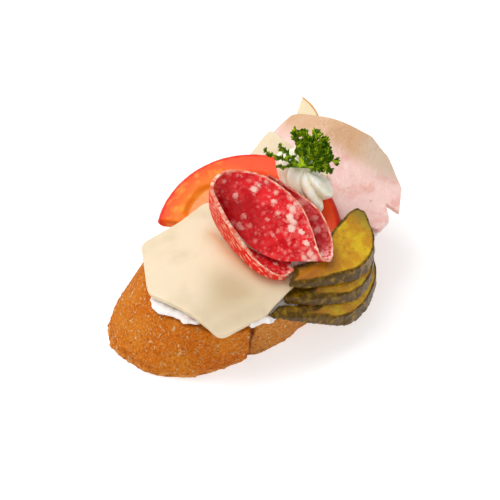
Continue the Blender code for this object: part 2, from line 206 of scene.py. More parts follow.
class Finish:
    """A material round one Principled shader."""

    def __init__(self, name, constants):
        self.material = bpy.data.materials.new(name)
        self.material.use_nodes = True
        self.tree = self.material.node_tree
        self.shader = self.tree.nodes["Principled BSDF"]
        for socket, value in constants.items():
            self.shader.inputs[socket].default_value = value
        self.place = self.add("ShaderNodeTexCoord", output="Object")

    def join(self, value, socket):
        if isinstance(value, Wire):
            self.tree.links.new(value.socket, socket)
        else:
            socket.default_value = value

    def add(self, kind, settings=None, sockets=None, output=0):
        node = self.tree.nodes.new(kind)
        for name, value in (settings or {}).items():
            setattr(node, name, value)
        for name, value in (sockets or {}).items():
            self.join(value, node.inputs[name])
        return Wire(self, node.outputs[output])

    def painted(self, name):
        return self.add("ShaderNodeAttribute", {"attribute_name": name}, output="Fac")

    def axis(self, name):
        """One of the piece's own coordinates, in millimetres."""
        return self.add("ShaderNodeSeparateXYZ", None, {0: self.place}, output=name) * 1000

    def stretched(self, size, turn=(0, 0, 0)):
        """The piece's coordinates with a pattern's size in millimetres along each axis."""
        scale = tuple(1000 / part for part in size)
        return self.add(
            "ShaderNodeMapping", {"vector_type": "POINT"},
            {"Vector": self.place, "Rotation": turn, "Scale": scale},
        )

    def noise(self, size, detail=2, where=None, output=0, rough=0.5):
        """Cloudy noise from 0 to 1, with lumps about `size` millimetres across."""
        where, scale = (self.place, 1000 / size) if where is None else (where, size)
        sockets = {"Vector": where, "Scale": scale, "Detail": detail, "Roughness": rough}
        return self.add("ShaderNodeTexNoise", None, sockets, output)

    def wandering(self, size, reach):
        """Coordinates pushed about by noise, so that round cells become ragged."""
        push = self.noise(size, 2, output="Color")
        sockets = {0: push, 1: (reach * MM,) * 3, 2: self.place}
        return self.add("ShaderNodeVectorMath", {"operation": "MULTIPLY_ADD"}, sockets)

    def spots(self, size, share, hard=6.0, where=None):
        """Ragged spots about `size` millimetres apart; share is how much they fill. Also gives
        a random number for each spot."""
        sockets = {"Vector": where or self.place, "Scale": 1000 / size}
        cells = self.add("ShaderNodeTexVoronoi", None, sockets)
        chance = self.add(
            "ShaderNodeSeparateColor", None, {0: Wire(self, cells.socket.node.outputs["Color"])}
        )
        return ((chance * 0.9 + share - 0.75 - cells) * hard).clamp(), chance

    def blend(self, first, second, share):
        sockets = {0: share, 6: first, 7: second}
        return self.add("ShaderNodeMix", {"data_type": "RGBA"}, sockets, output=2)

    def bump(self, height, deep):
        """Tilts the surface as if `height` stood `deep` millimetres high."""
        sockets = {"Height": height, "Distance": deep * MM, "Strength": 1.0}
        return self.add("ShaderNodeBump", None, sockets)

    def use(self, **sockets):
        names = {"colour": "Base Color", "rough": "Roughness", "normal": "Normal", "coat": "Coat Weight"}
        for name, value in sockets.items():
            self.join(value, self.shader.inputs[names[name]])


# %% [markdown]
# ## Camera, floor and light
#
# The sandwich stands on a white table and is seen from above the near left. A long lens keeps
# it from looking stretched. One big soft light high on the left gives the shine on the wet
# slices and the soft shadow on the right, and a white surrounding light fills the rest.

# %% Camera, floor and light
LOOK_AT = mm(1.7, -7.9, 25.0)
CAMERA_TURN = math.radians(-52)
CAMERA_RISE = math.radians(40)
CAMERA_AWAY = 0.64

to_camera = Vector((
    math.sin(CAMERA_TURN) * math.cos(CAMERA_RISE),
    -math.cos(CAMERA_TURN) * math.cos(CAMERA_RISE),
    math.sin(CAMERA_RISE),
))
camera_data = bpy.data.cameras.new("camera")
camera_data.sensor_width = 36
camera_data.lens = 119.8
camera_data.clip_start = 0.01
camera = bpy.data.objects.new("camera", camera_data)
bpy.context.scene.collection.objects.link(camera)
camera.location = LOOK_AT + to_camera * CAMERA_AWAY
camera.rotation_euler = (-to_camera).to_track_quat("-Z", "Y").to_euler()
bpy.context.scene.camera = camera

picture_right = Vector((math.cos(CAMERA_TURN), math.sin(CAMERA_TURN), 0))
picture_away = Vector((-math.sin(CAMERA_TURN), math.cos(CAMERA_TURN), 0))


def soft_light(name, right, away, up, size, power):
    """A square light that looks at the sandwich from so many metres to its right, behind and up."""
    data = bpy.data.lights.new(name, "AREA")
    data.size = size
    data.energy = power
    light = bpy.data.objects.new(name, data)
    bpy.context.scene.collection.objects.link(light)
    aim = picture_right * right + picture_away * away + Vector((0, 0, up))
    light.location = LOOK_AT + aim
    light.rotation_euler = (-aim).to_track_quat("-Z", "Y").to_euler()


soft_light("key_light", right=-0.40, away=0.20, up=0.90, size=0.8, power=8.5)
soft_light("near_light", right=-0.15, away=-0.8, up=0.6, size=0.6, power=1.8)

ROOM_LIGHT = 0.46
world = bpy.data.worlds.new("white_room")
bpy.context.scene.world = world
world.use_nodes = True
room = world.node_tree.nodes["Background"]
room.inputs["Color"].default_value = (1, 1, 1, 1)
room.inputs["Strength"].default_value = ROOM_LIGHT
bpy.context.scene.view_settings.view_transform = "Standard"

# The floor also glows a little, so that shadows on it stay pale.
nothing_selected()
bpy.ops.mesh.primitive_plane_add(size=6)
floor = named("floor")
paper = Finish("white_table", {
    "Base Color": (0.55, 0.55, 0.55, 1), "Roughness": 0.9,
    "Emission Color": (1, 1, 1, 1), "Emission Strength": 0.6,
})
floor.data.materials.append(paper.material)
print("The camera is", round(CAMERA_AWAY * 1000), "mm away")


# %% [markdown]
# ## Outlines
#
# A slice is a flat outline filled with an even grid and then laid over what is under it. The
# grid's square is stretched to the outline: a point on the square's side goes to the outline,
# and the rest follow in proportion.


# %% Outlines
def rounded_outline(corners, radius, steps=5):
    """A closed outline through the corners, each rounded off over `radius` of its two sides."""
    points = []
    for i, corner in enumerate(corners):
        corner = Vector(corner)
        before = Vector(corners[i - 1]) - corner
        after = Vector(corners[(i + 1) % len(corners)]) - corner
        start = corner + before.normalized() * min(radius, before.length * 0.48)
        end = corner + after.normalized() * min(radius, after.length * 0.48)
        for k in range(steps + 1):
            t = k / steps
            points.append(start * (1 - t) ** 2 + corner * 2 * t * (1 - t) + end * t * t)
    return points


def along_outline(points):
    """A function from a share of the way round, 0 to 1, to the point there."""
    ends = points[1:] + points[:1]
    reach = [0.0]
    for start, end in zip(points, ends):
        reach.append(reach[-1] + (end - start).length)

    def at(share):
        distance = (share % 1.0) * reach[-1]
        for i, start in enumerate(points):
            if distance <= reach[i + 1]:
                part = (distance - reach[i]) / max(reach[i + 1] - reach[i], 1e-9)
                return start.lerp(ends[i], part)
        return points[0]

    return at


def turn_of(s, t):
    """How far round a square of half side max(|s|, |t|) the point (s, t) is, from 0 to 1."""
    half = max(abs(s), abs(t))
    if half < 1e-9:
        return 0.0
    s, t = s / half, t / half
    if s >= abs(t):
        return (t + 1) / 8
    if t >= abs(s):
        return (3 - s) / 8
    if -s >= abs(t):
        return (5 - t) / 8
    return (7 + s) / 8


def in_outline(points, centre):
    at = along_outline(points)
    centre = Vector(centre)

    def place(s, t):
        return centre.lerp(at(turn_of(s, t)), max(abs(s), abs(t)))

    return place


def to_line(spot, points):
    """How far a flat spot is from a line through the points."""
    best = 1e9
    for start, end in zip(points, points[1:]):
        start, way = Vector(start), Vector(end) - Vector(start)
        share = min(1.0, max(0.0, (spot - start).dot(way) / way.length_squared))
        best = min(best, (spot - start - way * share).length)
    return best


def thin_slice(name, outline, centre, height, thick, cells=70, edge=0.45):
    """A slice of even thickness whose middle lies at height(x, y)."""
    nothing_selected()
    bpy.ops.mesh.primitive_grid_add(x_subdivisions=cells, y_subdivisions=cells, size=2)
    piece = named(name)
    place = in_outline(outline, centre)
    for v in piece.data.vertices:
        flat = place(v.co.x, v.co.y)
        v.co = mm(flat.x, flat.y, height(flat.x, flat.y))
    piece.data.update()
    apply_modifier(piece, "SOLIDIFY", thickness=thick * MM, offset=0)
    apply_modifier(
        piece, "BEVEL", width=edge * MM, segments=3, limit_method="ANGLE",
        angle_limit=math.radians(55),
    )
    return piece


# %% [markdown]
# ## The bread
#
# White bread from a long loaf: a thin, baked crust with fine pale specks and a few pits, a
# crack on the near side where the loaf burst, and a ragged lower edge where the knife tore it.
# The cast of the CAD form is pushed about by noise, because a crust has no straight line on it.

# %% The bread's form
BREAD_LEAN = Vector((12.5, -8.0))  # how far the top sits from the underside
BREAD_THICK = 22.0
CRACK_FOOT, CRACK_TOP = math.radians(226.5), math.radians(211)
CRUST_RADIUS = 48.0  # about the middle of its longest and shortest
CRACK_RADIUS = 44.0  # at the crack

bread = cast_of("bread", "bread_slice", 0.62, 5)
chance = random.Random(3)
pits = []
for _ in range(46):
    turn = chance.uniform(0, math.tau)
    pits.append((turn, chance.uniform(3, 19), chance.uniform(0.8, 1.9), chance.uniform(0.3, 0.75)))


def crust_turn(place):
    share = place.z / BREAD_THICK
    return math.atan2(place.y - BREAD_LEAN.y * share, place.x - BREAD_LEAN.x * share) % math.tau


def top_share(place):
    """How far out on the slice's top a point is: 1 at the crust."""
    flat = place.xy - BREAD_LEAN
    return ((abs(flat.x) / 58.5) ** 2.25 + (abs(flat.y) / 36) ** 2.25) ** (1 / 2.25)


def from_crack(place):
    """How far round the crust a point is from the crack, in millimetres."""
    crack = CRACK_FOOT + (CRACK_TOP - CRACK_FOOT) * place.z / BREAD_THICK
    return (crust_turn(place) - crack) * CRACK_RADIUS - 0.9 * lumps(place, 4, 8)


def bread_side(normal):
    return 1 - smooth_step(0.55, 0.85, abs(normal.z))


def push_bread(place, normal):
    side = bread_side(normal)
    out = 0.2 * lumps(place, 9, 1) + 0.14 * lumps(place, 3.2, 2) + 0.16 * lumps(place, 1.5, 5)
    turn = crust_turn(place)
    for pit_turn, pit_height, size, deep in pits:
        across = ((turn - pit_turn + math.pi) % math.tau - math.pi) * CRUST_RADIUS
        if abs(across) < 5 and abs(place.z - pit_height) < 4:
            away = (across ** 2 + ((place.z - pit_height) * 1.5) ** 2) / size ** 2
            out -= deep * math.exp(-away) * side
    low = 1 - smooth_step(1.5, 8.0, place.z)
    flat = Vector((place.x, place.y, 0))
    out += low * side * (1.5 * lumps(flat, 4.2, 7) + 1.0 * lumps(place, 1.9, 9) - 0.3)
    ledge = math.exp(-((place.z - 3.6 - 1.2 * lumps(place, 14, 4)) / 0.6) ** 2)
    out -= 0.4 * ledge * side
    past = from_crack(place)
    out -= 2.2 * math.exp(-(past / 0.6) ** 2) * side
    if abs(past) < 14:
        out += 1.3 * smooth_step(-9, -1.2, past) * smooth_step(0.3, -0.9, past) * side
        out -= 1.2 * smooth_step(-0.3, 1.0, past) * smooth_step(14, 4, past) * side
    pores = smooth_step(0.25, 0.5, lumps(place, 2.6, 11)) * (1 - side)
    moved = place + Vector((normal.x, normal.y, normal.z * (1 - side))) * out
    if place.z < 1.0:
        moved.z = max(0.0, moved.z)
    moved.z -= 0.5 * pores * smooth_step(18, 21, place.z)
    return moved


shape(bread, push_bread)
paint(
    bread, "crumb",
    lambda place, normal: smooth_step(0.86, 0.97, abs(normal.z)) * smooth_step(21, 21.6, place.z)
    * smooth_step(0.90, 0.86, top_share(place))
    + smooth_step(0.8, 0.95, -normal.z) * smooth_step(1.2, 0.5, place.z),
)
# Where the crack's painted shade goes.
paint(bread, "crack", lambda place, normal: math.exp(-(from_crack(place) / 0.6) ** 2))
paint(
    bread, "pale",
    lambda place, normal: smooth_step(-0.5, 1.5, from_crack(place))
    * (1 - smooth_step(5.2, 5.6, crust_turn(place))),
)

# %% The bread's finish
crust = Finish("crust", {"Roughness": 0.85, "Specular IOR Level": 0.1})
bake = crust.noise(13, 3)
tone = crust.blend(colour(204, 104, 14), colour(214, 124, 30), bake.step(0.32, 0.68))
tone = crust.blend(tone, colour(206, 134, 58), crust.painted("pale") * 0.8)
grain = crust.noise(1.0, 4, rough=0.75)
tone = crust.blend(tone, colour(146, 62, 6), grain.step(0.48, 0.34) * 0.7)
# Pale specks on the raised grain: partly the crust's own grain, partly painted highlight on it.
tone = crust.blend(tone, colour(240, 172, 88), grain.step(0.53, 0.66) * 0.65)
flour = crust.noise(1.9, 3, rough=0.8).step(0.57, 0.66)
tone = crust.blend(tone, colour(250, 212, 156), flour * 0.8)
low = crust.axis("Z").step(3.6, 0.8) * crust.noise(2.4, 3).step(0.42, 0.56)
tone = crust.blend(tone, colour(232, 166, 94), low * 0.75)
# Painted shade: the crust goes dark brown down the crack, where the gap lies in shade.
tone = crust.blend(tone, colour(104, 48, 12), crust.painted("crack") * 0.85)
crumb_tone = crust.blend(colour(240, 222, 188), colour(218, 186, 138), crust.noise(2.5, 3).step(0.5, 0.75))
crust.use(
    colour=crust.blend(tone, crumb_tone, crust.painted("crumb")),
    normal=crust.bump(grain * 1.4 + crust.noise(2.0, 3) + flour * 0.6, 0.55),
)
complete(bread, [crust], "crust", "bread", angle=75)


# %% [markdown]
# ## The spread
#
# A soft white cheese spread, put on with a knife. It is heaped under the slices and squeezed
# out at the near end, where it shows as a lumpy strip along the top of the crust.

# %% The spread
spread = cast_of("spread", "spread_layer", 0.7, 3)


SQUEEZED = ((-44.5, 2), (-45, -5), (-43.5, -14))  # where it shows at the near end
SQUEEZED_BY_CRACK = ((-29, -34), (-22, -39.5), (-15, -42))
TUCKED_IN = ((-40, -22), (-33, -30))


def push_spread(place, normal):
    out = 0.45 * lumps(place, 5.0, 3) + 0.35 * lumps(place, 2.2, 6)
    top = smooth_step(22.5, 23.2, place.z)
    near = smooth_step(6.5, 2.0, to_line(place.xy, SQUEEZED))
    near = max(near, smooth_step(5.0, 1.5, to_line(place.xy, SQUEEZED_BY_CRACK)))
    side = Vector((normal.x, normal.y, 0.9 * max(0.0, normal.z)))
    moved = place + normal * out * top
    moved += side * top * near * (1.4 + 2.2 * lumps(place, 3.4, 12))
    tucked = smooth_step(7, 3, to_line(place.xy, TUCKED_IN)) * (1 - near)
    tucked = max(tucked, smooth_step(4, 9, place.y) * smooth_step(-22, -30, place.x))
    inward = Vector((BREAD_LEAN.x - place.x, BREAD_LEAN.y - place.y, 0)).normalized()
    moved += inward * 4.0 * tucked
    moved.z = max(moved.z, 22.15)
    return moved


shape(spread, push_spread)
cream = Finish("spread", {
    "Roughness": 0.42, "Subsurface Weight": 0.25, "Subsurface Radius": (1.0, 0.7, 0.5),
    "Subsurface Scale": 0.002, "Specular IOR Level": 0.45,
})
cream_tone = cream.blend(
    colour(252, 245, 240), colour(236, 212, 206), cream.noise(2.4, 3).step(0.5, 0.7) * 0.75
)
cream.use(colour=cream_tone, normal=cream.bump(cream.noise(1.6, 3), 0.5))
complete(spread, [cream], "spread", "spread", angle=80)


# %% [markdown]
# ## The cheese
#
# Young cheese is cut by a machine into slices about 2 mm thick. They are smooth and a little
# see-through, with faint lines from the blade, and they bend under their own weight.


# %% Cheese finish and the near slice
def cheese_finish(name, light_tone, deep_tone, shade_and_tint):
    made = Finish(name, {
        "Subsurface Weight": 0.3, "Subsurface Radius": (1.0, 0.6, 0.3), "Subsurface Scale": 0.002,
        "Specular IOR Level": 0.4,
    })
    blade = made.noise(1.0, 2, where=made.stretched((1.1, 12, 12), (0, 0, 0.5)))
    # The darker tone goes by the last argument: painted shade in the near slice's hollow, the rind's own
    # colour on the smoked wedge, random tone on the square.
    tone = made.blend(light_tone, deep_tone, shade_and_tint(made))
    tone = made.blend(tone, deep_tone, made.noise(9, 2).step(0.45, 0.8) * 0.25)
    made.use(
        colour=tone, rough=made.noise(5, 2) * 0.18 + 0.30,
        normal=made.bump(blade * 0.5 + made.noise(2.0, 2) * 0.5, 0.04),
    )
    return made


def front_cheese_height(x, y):
    slope = 29.3 + 0.232 * (x + 40 - max(0.0, x + 12) * smooth_step(-8, 6, -y))
    droop = 0.0085 * max(0.0, abs(y + 3) - 7) ** 2
    droop += 0.9 * smooth_step(5, 0, to_line(Vector((x, y)), [(-42, -28), (-26, -36)]))
    to_tip = (Vector((x, y)) - Vector((-42, -28))).length
    wave = 0.12 * lumps(Vector((x, y, 0)), 13, 2)
    return slope - droop - 2.6 * math.exp(-((to_tip / 11) ** 2)) + wave


CHEESE_THICK = 2.2
front_corners = [
    (-44.8, 3.7), (-42.3, -28.5), (-25.5, -36.6), (-8, -37.4), (-3, -28), (-1, -12),
    (1.5, 12.5), (-12, 15.6), (-26.3, 22.6),
]
cheese_front = thin_slice(
    "cheese_front", rounded_outline(front_corners, 2.8), (-20, -6), front_cheese_height,
    CHEESE_THICK, cells=90,
)
SALAMI_FOOT = [(-5.9, -33.9), (-12, -32.8), (-16, -25), (-15.5, -12), (-11, 0)]
# Painted reflected light: an orange glow on the cheese beside the salami, where its red light falls.
paint(
    cheese_front, "salami_reflected_light",
    lambda place, normal: math.exp(-to_line(place.xy, SALAMI_FOOT) / 2.4),
)
# Painted shade: a soft tan patch in the middle of the near slice, the shade in its hollow below the
# salami's near leaf.
paint(
    cheese_front, "hollow",
    lambda place, normal: math.exp(
        -((place.x + 27) / 9) ** 2 - ((place.y + 20) / 10) ** 2
    ),
)
cheese = cheese_finish(
    "cheese", colour(224, 206, 174), colour(180, 152, 106), lambda made: made.painted("hollow") * 0.75
)
# Painted reflected light from the salami, mixed into the cheese's own colour.
own_tone = Wire(cheese, cheese.shader.inputs["Base Color"].links[0].from_socket)
cheese.use(colour=cheese.blend(own_tone, colour(226, 130, 62), cheese.painted("salami_reflected_light") * 0.5))
complete(cheese_front, [cheese], "cheese", "cheese_slope")


# %% [markdown]
# ## The slices at the far end
#
# A wedge of smoked cheese with a golden rind stands past the bread's end. A big soft slice of
# ham lies over it, and a square of cheese leans between the ham and the tomato.


# %% Smoked cheese
def smoked_height(x, y):
    return 27.4 + 0.335 * max(0.0, x - 33)


arc_middle = Vector((50.0, 26.2))
ARC_RADIUS = 26.5
arc = [
    arc_middle + Vector((math.cos(a), math.sin(a))) * ARC_RADIUS
    for a in (math.radians(-130 + 122 * k / 36) for k in range(37))
]
smoked = thin_slice("smoked_wedge", arc, (55, 9), smoked_height, CHEESE_THICK, cells=56)
paint(
    smoked, "rind",
    lambda place, normal: smooth_step(1.4, 0.6, ARC_RADIUS - (place.xy - arc_middle).length),
)
smoked_finish = cheese_finish(
    "smoked_cheese", colour(226, 210, 172), colour(214, 184, 124), lambda made: made.painted("rind") * 0.4
)
rind_share = smoked_finish.painted("rind").step(0.35, 0.75)
old_tone = Wire(smoked_finish, smoked_finish.shader.inputs["Base Color"].links[0].from_socket)
smoked_finish.use(colour=smoked_finish.blend(old_tone, colour(206, 136, 50), rind_share))
complete(smoked, [smoked_finish], "smoked_cheese", "smoked_cheese")


# %% Ham
def ham_height(x, y):
    rise = smooth_step(-45, 14, y)
    roll_down = 0.04 * max(0.0, y - 14) ** 2
    wave = 0.45 * math.sin(0.21 * y + 0.11 * x)
    return 30.4 + 0.33 * max(0.0, x - 30) * rise - roll_down + wave


HAM_THICK = 1.9
ham_corners = [
    (65, 19.5), (71, 1), (75, -13), (72, -23), (62.5, -36.5), (49.5, -44.2), (51.4, -36.6),
    (43, -44), (35.5, -44.5), (33, -34), (31, -22), (29, -5), (33, 16), (50, 22.5),
]


def detailed_ham_height(x, y):
    return ham_height(x, y) + 0.35 * lumps(Vector((x, y, 0)), 9, 4)


ham = thin_slice(
    "ham_slice", rounded_outline(ham_corners, 1.3), (60, -12), detailed_ham_height, HAM_THICK,
    cells=96, edge=0.4,
)
FAR_EDGE = [(69, 13), (72, 1), (75, -13)]
paint(ham, "far_edge", lambda place, normal: smooth_step(18, 8, to_line(place.xy, FAR_EDGE)))
paint(
    ham, "corner",
    lambda place, normal: smooth_step(17, 7, (place.xy - Vector((73, -24))).length),
)
VEIN = Vector((48.3, -31.7))  # a cut vein, seen as a small brown dot
paint(ham, "vein", lambda place, normal: smooth_step(0.8, 0.2, (place.xy - VEIN).length))
ham_finish = Finish("ham", {
    "Subsurface Weight": 0.15, "Subsurface Radius": (1.0, 0.45, 0.35), "Subsurface Scale": 0.0015,
    "Specular IOR Level": 0.5, "Coat Weight": 0.25, "Coat Roughness": 0.12,
})
meat = ham_finish.noise(7, 4)
tone = ham_finish.blend(colour(238, 200, 192), colour(228, 172, 162), meat.step(0.45, 0.75))
tone = ham_finish.blend(tone, colour(244, 226, 216), ham_finish.noise(3, 3).step(0.55, 0.75) * 0.5)
edge = (ham_finish.painted("far_edge") + (ham_finish.noise(8, 2) - 0.5) * 0.7).clamp()
tone = ham_finish.blend(tone, colour(210, 166, 122), edge * 0.95)
tone = ham_finish.blend(tone, colour(206, 182, 158), ham_finish.painted("corner") * 0.9)
tone = ham_finish.blend(tone, colour(176, 116, 70), ham_finish.painted("vein") * 0.8)
ham_finish.use(
    colour=tone, rough=ham_finish.noise(1.4, 3) * 0.5 + 0.12,
    normal=ham_finish.bump(ham_finish.noise(1.1, 3) + ham_finish.noise(4, 2) * 1.5, 0.26),
)
complete(ham, [ham_finish], "ham", "ham")


# %% The square of cheese
def square_height(x, y):
    lift = 2.2 * smooth_step(34, 50, x) * smooth_step(2, 19, y)
    return ham_height(x, min(y, 14)) + (HAM_THICK + CHEESE_THICK) / 2 + 0.65 + lift


square_corners = [(49.5, 19.0), (46.5, -13), (31, -12), (30, 20.5)]
cheese_back = thin_slice(
    "cheese_back", rounded_outline(square_corners, 2.5), (39, 3.5), square_height, CHEESE_THICK,
    cells=50,
)
back_finish = cheese_finish(
    "cheese_back", colour(226, 212, 178), colour(206, 184, 140), lambda made: made.noise(12, 2) * 0.2
)
complete(cheese_back, [back_finish], "cheese", "cheese_square")


# %% [markdown]
# ## The tomato
#
# Half of a round slice. Skin runs round its edge, then a wall of firm flesh, then hollows full
# of jelly. It is cast from the CAD form and its hollows are pressed in.

# %% The tomato
TOMATO_CENTRE = Vector((2.9, -6.1, 30.6))
TOMATO_NORMAL = Vector((-0.337, -0.174, 0.925)).normalized()
TOMATO_RADIUS = 36.0
TOMATO_THICK = 5.2
tomato_cut = Vector((0.452, -0.892, 0))
tomato_cut = (tomato_cut - TOMATO_NORMAL * tomato_cut.dot(TOMATO_NORMAL)).normalized()
tomato_away = TOMATO_NORMAL.cross(tomato_cut).normalized()
if tomato_away.x < 0:
    tomato_away = -tomato_away


def in_tomato(place):
    """Away from the cut, along the cut, and above the middle of the slice."""
    from_middle = place - TOMATO_CENTRE
    return Vector((
        from_middle.dot(tomato_away), from_middle.dot(tomato_cut), from_middle.dot(TOMATO_NORMAL),
    ))


def jelly(place):
    """How deep in a jelly hollow a point is, from 0 on the flesh to 1."""
    own = in_tomato(place)
    radius = own.xy.length + 1.2 * lumps(place, 6, 3)
    turn = math.atan2(own.y, own.x)
    ring = smooth_step(10, 13, radius) * smooth_step(27.5, 25, radius)
    walls = smooth_step(0.12, 0.3, abs(math.sin(turn * 2.5 + 0.6)))
    return ring * walls


tomato = cast_of("tomato", "tomato_slice", 0.5, 3)
shape(
    tomato,
    lambda place, normal: place
    - normal * (1.1 * jelly(place) * smooth_step(0.6, 0.95, abs(normal.dot(TOMATO_NORMAL))))
    + normal * (0.1 * lumps(place, 3, 9)),
)
paint(tomato, "jelly", lambda place, normal: jelly(place))
paint(tomato, "out", lambda place, normal: in_tomato(place).xy.length / TOMATO_RADIUS)
tomato_finish = Finish("tomato", {
    "Roughness": 0.4, "Specular IOR Level": 0.15, "Coat Roughness": 0.08,
    "Subsurface Weight": 0.08, "Subsurface Radius": (1.0, 0.3, 0.1), "Subsurface Scale": 0.002,
})
out = tomato_finish.painted("out") + (tomato_finish.noise(4, 2) - 0.5) * 0.04
flesh = tomato_finish.blend(colour(240, 118, 14), colour(236, 84, 4), out.step(0.76, 0.93))
pale = tomato_finish.noise(3.4, 3).step(0.48, 0.72)
flesh = tomato_finish.blend(flesh, colour(250, 160, 50), pale * 0.7)
flesh = tomato_finish.blend(flesh, colour(236, 134, 26), tomato_finish.painted("jelly") * 0.6)
# Redder and brighter towards the far end: partly the flesh's own red there, partly painted light that
# lifts the mayonnaise's shade.
flesh = tomato_finish.blend(flesh, colour(255, 78, 34), tomato_finish.axis("X").step(14, 24) * 0.9)
tone = tomato_finish.blend(flesh, colour(222, 36, 8), out.step(0.915, 0.97))
tomato_finish.use(
    colour=tone, normal=tomato_finish.bump(tomato_finish.noise(1.8, 3), 0.2),
    coat=tomato_finish.painted("jelly") * 0.5 + 0.06,
)
complete(tomato, [tomato_finish], "tomato", "tomato", angle=50)


# %% [markdown]
# ## The gherkins
#
# Three lengthwise slices, fanned. Each has a wet, glassy cut face and a dark, warty skin that
# bulges a little between its two cut faces.

# %% The gherkins
gherkin_face = Finish("gherkin", {
    "Subsurface Weight": 0.1, "Subsurface Radius": (1.0, 0.8, 0.1), "Subsurface Scale": 0.0015,
    "Coat Roughness": 0.06, "Specular IOR Level": 0.12,
})
face = gherkin_face.blend(
    colour(204, 142, 0), colour(220, 180, 10), gherkin_face.noise(5, 3).step(0.4, 0.65)
)
face = gherkin_face.blend(face, colour(160, 84, 0), gherkin_face.painted("shade") * 0.85)
along = gherkin_face.axis("X")
face = gherkin_face.blend(face, colour(150, 128, 34), along.step(26, 35))
vein = gherkin_face.noise(2.0, 3).step(0.52, 0.7)
face = gherkin_face.blend(face, colour(150, 116, 14), vein * 0.4)
patch = gherkin_face.noise(2.6, 3)
hide = gherkin_face.blend(colour(84, 58, 0), colour(142, 104, 0), patch.step(0.45, 0.75))
wart, _ = gherkin_face.spots(2.4, 0.5, 5)
hide = gherkin_face.blend(hide, colour(156, 126, 12), wart * 0.3)
skin = gherkin_face.painted("skin")
gherkin_face.use(
    colour=gherkin_face.blend(face, hide, skin),
    rough=gherkin_face.noise(2, 2) * 0.3 + 0.2,
    coat=0.8 - skin * 0.5,
    normal=gherkin_face.bump(gherkin_face.noise(1.5, 3, rough=0.6) + wart * skin * 0.5, 0.6),
)
# How each slice's cut faces slope: rise along X and Y of the upper, then of the lower face.
CUT_FACES = {
    "gherkin_low": ((0.0, 1.0), (0.0, 1.35)),
    "gherkin_mid": ((0.04, 0.75), (0.04, 1.0)),
    "gherkin_top": ((0.05, 0.40), (0.05, 0.75)),
}


def facing(slopes, normal):
    """How squarely a normal stands on a cut face with these slopes."""
    return normal.dot(Vector((-slopes[0], -slopes[1], 1)).normalized())


def spread_mark(piece, name, reach_at):
    """Let a painted mark grow over the vertices near it, as far as reach_at says for a place."""
    values = piece.data.attributes[name].data
    marked = [v for v in piece.data.vertices if values[v.index].value > 0.6]
    tree = KDTree(len(marked))
    for v in marked:
        tree.insert(v.co, v.index)
    tree.balance()
    for v in piece.data.vertices:
        away = tree.find(v.co)[2] / MM
        reach = reach_at(v.co / MM)
        values[v.index].value = max(values[v.index].value, smooth_step(reach, reach * 0.55, away))


SKIN_PUFF = 0.4  # how far the skin bulges past the cut faces
SKIN_BAND = 1.2  # how far the skin's colour reaches over a cut face, before the stem end
UNDER_SALAMI = [(-14, -41), (3, -41)]  # where the cut faces lie in its shade


def inner_edge_shift(node, place, stem):
    """How far a slice's inner edge goes on under what covers it; stem is its least X."""
    if node == "gherkin_top":
        beside_cheese = smooth_step(-9, -3, place.x)
        under_leaf = smooth_step(-40, -37, place.y) * smooth_step(8, 2, place.x)
        return Vector((0, 4.5, -1.6)) * under_leaf * beside_cheese
    under_cheese = smooth_step(-43, -39, place.y) * smooth_step(stem + 22, stem + 8, place.x)
    shift = Vector((1.0, 1.8, -2.2))
    if node == "gherkin_low":
        past_tip = smooth_step(stem + 1, stem + 7, place.x)
        shift = shift.lerp(Vector((0.5, 3.2, -0.4)), past_tip)
    return shift * under_cheese


for node, (upper_slopes, lower_slopes) in CUT_FACES.items():
    gherkin = cast_of(node, node + "_slice", 0.36, 3)
    stem = min(v.co.x for v in gherkin.data.vertices) / MM

    def on_skin(normal):
        face = max(facing(upper_slopes, normal), -facing(lower_slopes, normal))
        return smooth_step(0.92, 0.8, face)

    def bulge(place, normal):
        side = on_skin(normal)
        near_side = smooth_step(0.2, -0.3, normal.y)
        flat = Vector((normal.x, normal.y, 0))
        warts = 0.4 * max(0.0, lumps(place, 2.4, 5)) + 0.35 * lumps(place, 4.5, 8)
        moved = place + flat * side * near_side * (SKIN_PUFF + warts)
        moved += inner_edge_shift(node, place, stem)
        return moved + normal * (1 - side) * 0.12 * lumps(place, 3, 2)

    def skin_reach(place):
        more = 0.8 if node == "gherkin_top" else 2.4
        at_stem = smooth_step(stem + 26, stem + 8, place.x)
        return SKIN_BAND + more * at_stem + 0.4 * lumps(place, 4, 6)

    shape(gherkin, bulge)
    paint(gherkin, "skin", lambda place, normal: on_skin(normal))
    spread_mark(gherkin, "skin", skin_reach)
    paint(
        gherkin, "shade",
        lambda place, normal: math.exp(-((to_line(place.xy, UNDER_SALAMI) / 6) ** 2)),
    )
    complete(gherkin, [gherkin_face], "gherkin", node, angle=60)


# %% [markdown]
# ## The salami
#
# One round slice, folded over itself into three standing leaves that open to the near side. The
# rim is one curve round the leaves, and the fold another; a grid is stretched between the two
# and given its thickness. A number kept at each vertex says how far from the rim it is, so the
# casing and the streaks beside it follow the rim.

# %% The salami's form
SALAMI_THICK = 1.2
SALAMI_CELLS = 420  # along the rim


def through(points, share):
    """A smooth curve through the points, read from 0 at the first to 1 at the last."""
    spans = len(points) - 1
    i = min(int(share * spans), spans - 1)
    t = share * spans - i
    before = points[i - 1] if i else points[0] * 2 - points[1]
    after = points[i + 2] if i + 2 < len(points) else points[-1] * 2 - points[-2]
    a, b = points[i], points[i + 1]
    return 0.5 * (
        2 * a
        + (b - before) * t
        + (2 * before - 5 * a + 4 * b - after) * t * t
        + (3 * a - before - 3 * b + after) * t * t * t
    )


